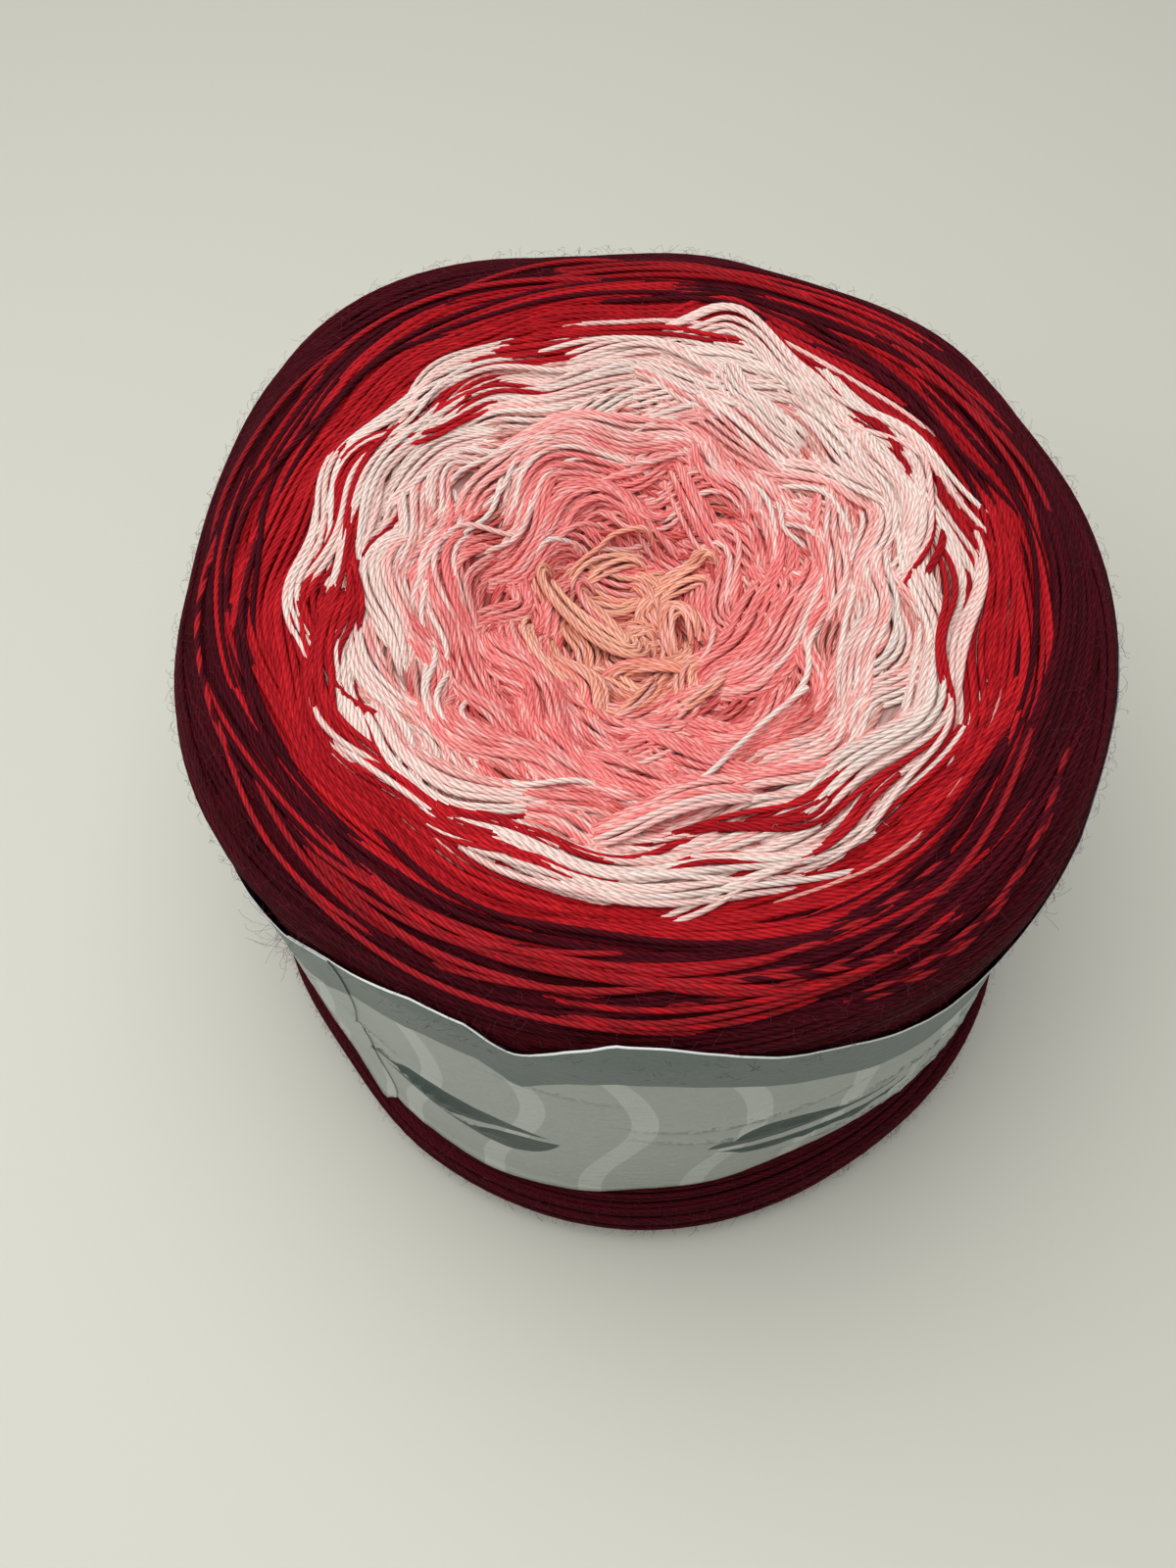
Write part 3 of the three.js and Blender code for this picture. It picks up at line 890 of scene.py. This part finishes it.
foot_strands = [plain_round(reach, rng.uniform(*FOOT_LIFTS), FOOT_STEP) for reach in foot_reaches]
under_strands = [plain_round(reach, UNDER_LIFT, UNDER_STEP) for reach in under_reaches]
for strand in foot_strands + under_strands:
    strand["points"][:, 2] = np.maximum(strand["points"][:, 2], YARN_DIAMETER / 2)
yarn_objects.append(strand_object("foot_turns", foot_strands, YARN_FINISH))
yarn_objects.append(strand_object("underside_turns", under_strands, YARN_FINISH))

# %% [markdown]
# Between the strands the turns below show through as dark gaps. One closed skin a little under
# the strands stands for them, coloured by the same borders and ribbed like packed yarn. Its
# colour has painted shade: deepened and darkened, most between the ribs.

# %% The turns beneath
SKIN_TURNS = 144
SKIN_STEP = 2.2
SKIN_DEPTH = 1.5
SKIN_SHADE_TONES = (0.4, 0.7)
skin_turns = 2 * math.pi * np.arange(SKIN_TURNS) / SKIN_TURNS
skin_reaches = np.arange(1.0, FOOT_FROM, SKIN_STEP)
skin_reaches = np.append(skin_reaches, np.arange(FOOT_FROM, REACH_END - 1, SKIN_STEP))


def inner_finish():
    material, tree, surface = new_finish("packed_turns")
    reach = own_place(tree)[1]
    ribs = unsigned(tree, sine(tree, times(tree, reach, math.pi / YARN_DIAMETER)))
    tint = add_node(tree, "ShaderNodeAttribute", attribute_name="tint").outputs["Color"]
    # Painted shade: the turns beneath are deepened in colour and darkened, most between the ribs.
    shade_deepened = mixed(tree, 0.5, tint, squared(tree, tint))
    tone = ranged(tree, times(tree, ribs, noise(tree, 900.0, 3.0)), *SKIN_SHADE_TONES)
    constants = {"Roughness": 0.9, "Specular IOR Level": 0.05}
    set_surface(tree, surface, toned(tree, shade_deepened, tone), ribs, 0.4, 0.0004, constants)
    return material


def skin_ring(reach):
    return on_cake(skin_turns, np.full(SKIN_TURNS, reach), np.full(SKIN_TURNS, -SKIN_DEPTH))[0]


skin_points = np.concatenate([skin_ring(reach) for reach in skin_reaches])
grid = np.arange(len(skin_points)).reshape(-1, SKIN_TURNS)
beside = np.roll(grid, -1, axis=1)
skin_faces = np.stack([grid[:-1], grid[1:], beside[1:], beside[:-1]], axis=-1).reshape(-1, 4)
turns_beneath = mesh_object("turns_beneath", skin_points, skin_faces, inner_finish())
skin_tints = [[*dyed(turn, reach, 0.0)[0], 1.0] for reach in skin_reaches for turn in skin_turns]
add_tint(turns_beneath.data, "tint", skin_tints)
skin_places = np.stack([np.zeros(skin_faces.size), skin_reaches[skin_faces.ravel() // SKIN_TURNS]], axis=-1)
add_places(turns_beneath.data, "reach", skin_places)
yarn_objects.append(turns_beneath)
for obj in yarn_objects:
    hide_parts("wound_yarn")
    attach(obj, "root")
print("yarn faces in all", sum(len(obj.data.polygons) for obj in yarn_objects))

# %% [markdown]
# The band is a strip of printed paper, wrapped once round and glued where its ends overlap, at
# the left of the front. Its edges wander because it has slid and been handled, and it is
# creased, with painted shade along each fold. The print here is a plain pattern of its own: pale
# waving uprights and single leaves under a darker border.

# %% The paper band
BAND_EDGES = table("azimuth lower upper", [
    (0, 17, 81),
    (75, 15, 83),
    (120, 15, 81),
    (180, 14.5, 74),
    (205, 15, 69),
    (220, 14, 69),
    (229, 13.5, 78),
    (231, 16.5, 80),
    (243, 16, 86),
    (249, 16, 85),
    (254, 16.2, 79.5),
    (260, 17, 86),
    (265, 18, 90),
    (270, 19, 89.5),
    (276, 20, 86),
    (282, 21, 82),
    (290, 21.5, 77),
    (295, 21, 73),
    (303, 20.5, 69.5),
    (314, 20, 69),
    (326, 18.5, 79),
    (345, 17.5, 81),
    (360, 17, 81),
])
SEAM_AZIMUTH = 222.0
OVERLAP = 9.0
BAND_RADIUS = 74.0
PAPER_THICKNESS = 0.18
BAND_STEP = 0.9
BAND_ROWS = 64
CREASE_WIDTH = 2.0
CREASE_LINE = 0.55
CREASES = table("azimuth height slope depth length", [
    (231, 56, -0.70, 0.7, 16),
    (240, 46, -0.35, 1.2, 26),
    (244, 40, -0.40, 1.0, 22),
    (258, 65, -0.10, 0.4, 26),
    (281, 53, 0.01, 0.7, 44),
    (286, 46, -0.06, 0.9, 52),
    (292, 38, 0.05, 1.1, 44),
    (298, 30, 0.12, 1.0, 36),
    (305, 50, 0.30, 1.0, 28),
    (311, 36, 0.36, 1.1, 26),
])
PAPER_GREY = linear(162, 167, 158)
PAPER_PALE = linear(184, 189, 180)
PAPER_WHITE = linear(232, 236, 232)
BORDER_GREEN = linear(92, 105, 100)
PRINT_GREEN = linear(44, 64, 58)
FOLD_SHADE = linear(74, 80, 82)
BORDER_DEPTH = 15.0
CUT_EDGE = 0.4
LEAF = {"height": 40.0, "half_height": 10.0, "half_length": 19.0, "apart": 58.0, "lean": 9.0,
        "point": 1.6, "size": 0.9, "vein": 0.09}
UPRIGHT = {"apart": 17.0, "sway": 4.5, "per_height": 0.085, "pale_above": 0.74}
FOLD_WOBBLE = 5.0
FOLD_SHADE_STRENGTH = 0.8
STAND_OFF = 0.7
NEAREST = -0.3
OVERLAP_LIFT = 0.24
CLIMB_BEFORE = 4
CLIMB_OVER = 6
CREASE_HEIGHT = 1.4
PROUD_SIDE = {"azimuth": 10, "spread": 60, "height_from": 60, "height_over": 25, "size": 0.6}
LEAN_FROM = 82.0
LEAN_IN = 0.1
WALL_RAY_STARTS = 120.0


def run_to(degrees):
    """How far along the strip an azimuth lies, from the seam."""
    return math.radians((degrees - SEAM_AZIMUTH) % 360) * BAND_RADIUS


def crease_lines(tree, along, height, wobble):
    """The sharp fold in each crease: 1 on the fold and 0 on plain paper, for bump and painted shade."""
    lines = 0.0
    for crease in CREASES:
        run = minus(tree, along, run_to(crease["azimuth"]))
        level_there = plus(tree, times(tree, run, crease["slope"]), crease["height"])
        away = unsigned(tree, plus(tree, minus(tree, height, level_there), wobble))
        across = maths(tree, "MAXIMUM", minus(tree, 1.0, times(tree, away, 1 / CREASE_LINE)))
        ends = minus(tree, 1.0, times(tree, unsigned(tree, run), 2 / crease["length"]))
        line = times(tree, across, maths(tree, "SQRT", maths(tree, "MAXIMUM", ends)))
        lines = maths(tree, "MAXIMUM", lines, times(tree, line, min(crease["depth"], 1.0)))
    return lines


def leaf_print(tree, along, height):
    """1 inside the leaves and 0 outside them and on their veins."""
    rise = times(tree, minus(tree, height, LEAF["height"]), 1 / LEAF["half_height"])
    leaned = plus(tree, along, times(tree, rise, LEAF["lean"]))
    run = minus(tree, maths(tree, "FLOORED_MODULO", leaned, LEAF["apart"]), LEAF["apart"] / 2)
    off_middle = unsigned(tree, times(tree, run, 1 / LEAF["half_length"]))
    narrowing = maths(tree, "POWER", off_middle, LEAF["point"])
    off_vein = unsigned(tree, rise)
    inside = maths(tree, "LESS_THAN", plus(tree, narrowing, off_vein), LEAF["size"])
    vein = maths(tree, "LESS_THAN", off_vein, LEAF["vein"])
    return minus(tree, inside, times(tree, inside, vein))


def paper_finish():
    material, tree, surface = new_finish("printed_paper")
    along, height = own_place(tree)
    sway_there = times(tree, sine(tree, times(tree, height, UPRIGHT["per_height"])), UPRIGHT["sway"])
    upright = sine(tree, times(tree, plus(tree, along, sway_there), 2 * math.pi / UPRIGHT["apart"]))
    pale = maths(tree, "GREATER_THAN", upright, UPRIGHT["pale_above"])
    colour = mixed(tree, pale, (*PAPER_GREY, 1), (*PAPER_PALE, 1))
    colour = mixed(tree, leaf_print(tree, along, height), colour, (*PRINT_GREEN, 1))
    depth = add_node(tree, "ShaderNodeAttribute", attribute_name="depth_below_edge").outputs["Fac"]
    colour = mixed(tree, maths(tree, "LESS_THAN", depth, BORDER_DEPTH), colour, (*BORDER_GREEN, 1))
    colour = mixed(tree, maths(tree, "LESS_THAN", depth, CUT_EDGE), colour, (*PAPER_WHITE, 1))
    wobble = times(tree, minus(tree, noise(tree, 120.0, 3.0), 0.5), FOLD_WOBBLE)
    folds = crease_lines(tree, along, height, wobble)
    # Painted shade: the paper is darkened along the fold of each crease.
    colour = mixed(tree, times(tree, folds, FOLD_SHADE_STRENGTH), colour, (*FOLD_SHADE, 1))
    colour = toned(tree, colour, ranged(tree, noise(tree, 260.0, 4.0), 0.93, 1.05))
    relief = minus(tree, noise(tree, 60.0, 5.0, Roughness=0.6), folds)
    set_surface(tree, surface, colour, relief, 0.45, 0.0008, {"Roughness": 0.42})
    return material


def band_edge(name, degrees):
    azimuths = np.array([row["azimuth"] for row in BAND_EDGES])
    return np.interp(np.asarray(degrees) % 360, azimuths, [row[name] for row in BAND_EDGES])


def paper_offset(degrees, height, share):
    """How far the paper stands off the yarn here: creases, waves and the proud right side."""
    azimuth = math.radians(degrees)
    off = 0.25 * math.sin(azimuth * 7 + 1) * share + 0.2 * math.sin(azimuth * 13 + height * 0.05)
    for crease in CREASES:
        beside = (degrees - crease["azimuth"] + 180) % 360 - 180
        run = math.radians(beside) * BAND_RADIUS
        if abs(run) < crease["length"] / 2:
            away = height - crease["height"] - crease["slope"] * run
            fade = math.cos(math.pi * run / crease["length"])
            off += CREASE_HEIGHT * crease["depth"] * fade * math.exp(-abs(away) / CREASE_WIDTH)
    turn = abs((degrees - PROUD_SIDE["azimuth"] + 180) % 360 - 180)
    sideways = float(smooth_step(1 - turn / PROUD_SIDE["spread"]))
    upwards = float(smooth_step((height - PROUD_SIDE["height_from"]) / PROUD_SIDE["height_over"]))
    return off + PROUD_SIDE["size"] * sideways * upwards - LEAN_IN * max(height - LEAN_FROM, 0)


def wall_radius(azimuth, height):
    """The yarn's radius here. The paper's top is straight, so it stays the same higher up."""
    out = Vector((math.cos(azimuth), math.sin(azimuth), 0))
    start = out * WALL_RAY_STARTS + Vector((0, 0, min(height, LEAN_FROM)))
    hit = cake_form.ray_cast(start, -out)[0]
    return math.hypot(hit.x, hit.y)


band_degrees = SEAM_AZIMUTH + np.linspace(0, 360 + OVERLAP, int((360 + OVERLAP) / BAND_STEP) + 1)
band_points = np.zeros((2, len(band_degrees), BAND_ROWS, 3))
band_depths = np.zeros((len(band_degrees), BAND_ROWS))
for column, degrees in enumerate(band_degrees):
    azimuth = math.radians(degrees)
    lower = float(band_edge("lower", degrees)) + 0.3 * math.sin(azimuth * 23)
    upper = float(band_edge("upper", degrees)) + 0.25 * math.sin(azimuth * 17 + 2)
    past_seam = degrees - SEAM_AZIMUTH - 360
    over = float(smooth_step((past_seam + CLIMB_BEFORE) / CLIMB_OVER)) * OVERLAP_LIFT
    for line in range(BAND_ROWS):
        share = line / (BAND_ROWS - 1)
        height = lower + (upper - lower) * share
        offset = max(paper_offset(degrees, height, share), NEAREST)
        radius = wall_radius(azimuth, height) + STAND_OFF + over + offset
        for face, thickness in enumerate((0.0, PAPER_THICKNESS)):
            reach = radius + thickness
            band_points[face, column, line] = (reach * math.cos(azimuth), reach * math.sin(azimuth), height)
        band_depths[column, line] = upper - height

columns = len(band_degrees)
index = np.arange(2 * columns * BAND_ROWS).reshape(2, columns, BAND_ROWS)
inside, outside = index[0], index[1]


def sheet_faces(grid):
    return np.stack([grid[:-1, :-1], grid[1:, :-1], grid[1:, 1:], grid[:-1, 1:]], axis=-1).reshape(-1, 4)


def rim_faces(first, second):
    return np.stack([first[:-1], first[1:], second[1:], second[:-1]], axis=-1)


band_faces = np.concatenate([
    sheet_faces(outside),
    sheet_faces(inside)[:, ::-1],
    rim_faces(outside[:, -1], inside[:, -1]),
    rim_faces(inside[:, 0], outside[:, 0]),
    rim_faces(inside[0], outside[0]),
    rim_faces(outside[-1], inside[-1]),
])
band = mesh_object("paper_band_strip", band_points.reshape(-1, 3), band_faces, paper_finish())
depth_layer = band.data.attributes.new("depth_below_edge", "FLOAT", "POINT")
depth_layer.data.foreach_set("value", np.tile(band_depths.ravel(), 2).astype(np.float32))
runs = np.radians(band_degrees - SEAM_AZIMUTH) * BAND_RADIUS
band_places = np.stack([np.repeat(runs, BAND_ROWS), band_points[0, :, :, 2].ravel()], axis=-1)
add_places(band.data, "run_and_height", np.tile(band_places, (2, 1))[band_faces.ravel()])
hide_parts("paper_band")
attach(band, "root")

# %% [markdown]
# Loose fibres stand off any yarn of spun threads. They show against the pale ground along the
# sides, and as a soft haze over the dark turns.

# %% Stray fibres
FIBRE_WIDTH = 0.045
FIBRE_PALER = np.array([0.16, 0.05, 0.08])
FIBRE_POINTS = 5
FIBRE_BEND = 1.2
FIBRE_LIFT = 0.3
FIBRE_RADII = (12, 75)
ABOVE_TABLE = 0.1
WALL_MIDDLE = WALL_FROM + 9.0
FIBRE_PLACES = table("from to first last count length stands", [
    (8, 66, 0, 360, 700, 2.6, 0.7),
    (66, 86, 0, 360, 1700, 3.0, 1.1),
    (FOOT_FROM - 8, UNDER_FROM - 4, 0, 360, 2600, 2.4, 1.2),
    (WALL_MIDDLE + 4, WALL_MIDDLE + 14, 215, 221, 26, 9.0, 4.2),
    (WALL_MIDDLE, WALL_MIDDLE + 10, 320, 327, 16, 7.0, 3.6),
])


def fibre(row):
    azimuth = math.radians(rng.uniform(row["first"], row["last"]))
    reach = rng.uniform(row["from"], row["to"])
    length = row["length"] * rng.uniform(0.3, 1.3)
    share = np.linspace(0, 1, FIBRE_POINTS)
    heading = rng.uniform(0, 2 * math.pi)
    turns = heading + rng.normal(0, FIBRE_BEND) * share
    steps = np.stack([np.cos(turns), np.sin(turns)], axis=1)
    moved = np.cumsum(steps, axis=0) * length / FIBRE_POINTS
    azimuths = azimuth + moved[:, 0] / np.clip(reach, *FIBRE_RADII)
    lifts = FIBRE_LIFT + row["stands"] * rng.uniform(0.2, 1.4) * np.sin(share * rng.uniform(1.2, 3.0))
    points, outs = on_cake(azimuths, reach + moved[:, 1], lifts)
    points[:, 2] = np.maximum(points[:, 2], ABOVE_TABLE)
    tint, second, _ = dyed(azimuth, reach, 0.0)
    return {"points": evened(points), "outs": outs, "radius": FIBRE_WIDTH / 2, "tint": tint + FIBRE_PALER,
            "second": second, "share": 0.0, "phase": 0.0}


fibres = [fibre(row) for row in FIBRE_PLACES for _ in range(row["count"])]
stray_fibres = strand_object("stray_fibres", fibres, YARN_FINISH, sides=3)
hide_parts("wound_yarn")
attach(stray_fibres, "root")

# %% [markdown]
# The cake stands on a plain pale table. A broad soft light hangs above, a little to the left, and
# the room fills the shadows.

# %% Table and light
FLOOR_SIZE = 4.0
FLOOR_TONES = [linear(207, 206, 193), linear(210, 209, 197)]
FLOOR_ROUGHNESS = 0.5
ROOM_COLOUR = (0.95, 0.96, 0.98, 1)
ROOM_STRENGTH = 0.48

half = FLOOR_SIZE / 2
corners = [(-half, -half, 0), (half, -half, 0), (half, half, 0), (-half, half, 0)]
floor_mesh = bpy.data.meshes.new("table_top")
floor_mesh.from_pydata(corners, [], [(0, 1, 2, 3)])
floor = bpy.data.objects.new("table_top", floor_mesh)
bpy.context.scene.collection.objects.link(floor)
floor_material, tree, surface = new_finish("table_finish")
floor_tone = mixed(tree, noise(tree, 3.0, 2.0), *[(*tone, 1) for tone in FLOOR_TONES])
tree.links.new(floor_tone, surface.inputs["Base Color"])
surface.inputs["Roughness"].default_value = FLOOR_ROUGHNESS
floor_mesh.materials.append(floor_material)


def soft_light(name, place, aim, size, power):
    data = bpy.data.lights.new(name, "AREA")
    data.shape = "SQUARE"
    data.size = size
    data.energy = power
    obj = bpy.data.objects.new(name, data)
    obj.location = place
    obj.rotation_euler = (Vector(aim) - Vector(place)).to_track_quat("-Z", "Y").to_euler()
    bpy.context.scene.collection.objects.link(obj)


soft_light("ceiling_light", (-0.13, -0.02, 0.56), (-0.02, -0.03, 0.05), size=0.7, power=3.1)
world = bpy.data.worlds.new("room")
world.use_nodes = True
world.node_tree.nodes["Background"].inputs["Color"].default_value = ROOM_COLOUR
world.node_tree.nodes["Background"].inputs["Strength"].default_value = ROOM_STRENGTH
bpy.context.scene.world = world
bpy.context.scene.view_settings.view_transform = "Standard"
